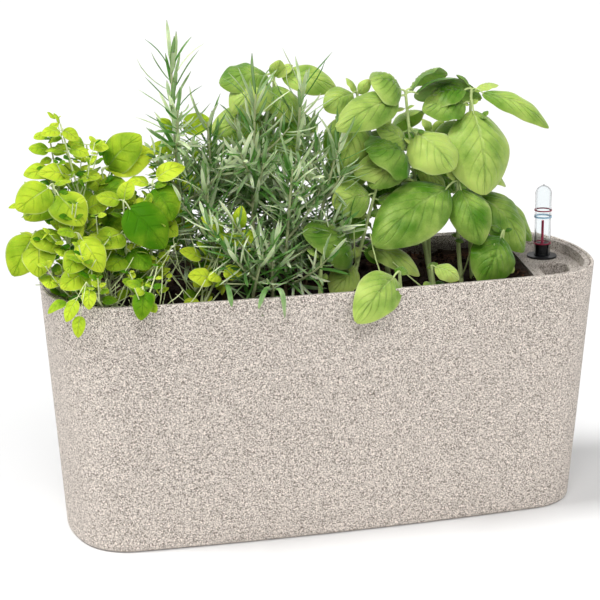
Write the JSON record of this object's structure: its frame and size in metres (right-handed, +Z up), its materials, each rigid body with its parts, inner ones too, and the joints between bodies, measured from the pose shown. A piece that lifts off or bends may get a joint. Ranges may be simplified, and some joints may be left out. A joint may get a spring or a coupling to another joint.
{
  "type": "self-watering herb planter",
  "caption": "Tapered indoor planter with a lift-out liner, water reservoir, float indicator, fill chute, soil and three kitchen herbs.",
  "frame": {"origin": "middle of the flat base, where the planter stands", "axes": "+X along the planter towards the indicator, +Y to the back, +Z up"},
  "size_m": [0.4251, 0.1681, 0.3603],
  "materials": {
    "speckled_plastic": "matte, fine dark and pale speckles",
    "liner_plastic": "matte, fine dark and pale speckles",
    "basket_plastic": "matte",
    "soil": "crumbly",
    "black_plastic": "satin",
    "clear_plastic": "clear",
    "red_plastic": "satin",
    "blue_plastic": "satin",
    "float_foam": "matte",
    "basil_leaf": "satin",
    "rosemary_leaf": "satin",
    "oregano_leaf": "satin"
  },
  "bodies": {
    "outer": {"outer_planter": "speckled_plastic"},
    "liner": {"planting_liner": "liner_plastic", "wick_basket_left": "basket_plastic", "wick_basket_right": "basket_plastic", "potting_soil": "soil", "basil_back_left": "basil_leaf", "basil_back_right": "basil_leaf", "basil_front": "basil_leaf", "basil_low_middle": "basil_leaf", "basil_low_right": "basil_leaf", "basil_sprout_front": "basil_leaf", "basil_sprout_left": "basil_leaf", "basil_sprout_right": "basil_leaf", "basil_tall_left": "basil_leaf", "basil_tall_middle": "basil_leaf", "basil_tall_right": "basil_leaf", "oregano_back": "oregano_leaf", "oregano_broad": "oregano_leaf", "oregano_creeping": "oregano_leaf", "oregano_end": "oregano_leaf", "oregano_hanging_front": "oregano_leaf", "oregano_hanging_left": "oregano_leaf", "oregano_left": "oregano_leaf", "oregano_low": "oregano_leaf", "oregano_middle": "oregano_leaf", "oregano_right": "oregano_leaf", "oregano_tall_back": "oregano_leaf", "oregano_tall_front": "oregano_leaf", "oregano_upright": "oregano_leaf", "oregano_yellow": "oregano_leaf", "rosemary_back": "rosemary_leaf", "rosemary_front": "rosemary_leaf", "rosemary_leaning": "rosemary_leaf", "rosemary_left": "rosemary_leaf", "rosemary_low_front": "rosemary_leaf", "rosemary_low_left": "rosemary_leaf", "rosemary_low_right": "rosemary_leaf", "rosemary_middle": "rosemary_leaf", "rosemary_right": "rosemary_leaf", "rosemary_tall": "rosemary_leaf"},
    "indicator": {"indicator_base": "black_plastic", "float_tube": "black_plastic", "float_tube_cap": "black_plastic", "indicator_window": "clear_plastic", "min_ring": "red_plastic", "optimum_ring": "blue_plastic", "max_ring": "red_plastic"},
    "float": {"water_float": "float_foam", "pointer_rod": "red_plastic"}
  },
  "joints": [
    {"name": "liner_lift", "type": "slide", "parent": "outer", "child": "liner", "axis": [0, 0, 1], "range_m": [0, 0.18]},
    {"name": "indicator_lift", "type": "slide", "parent": "liner", "child": "indicator", "axis": [0, 0, 1], "range_m": [0, 0.17]},
    {"name": "float_rise", "type": "slide", "parent": "indicator", "child": "float", "axis": [0, 0, 1], "range_m": [-0.0169, 0.008]}
  ]
}
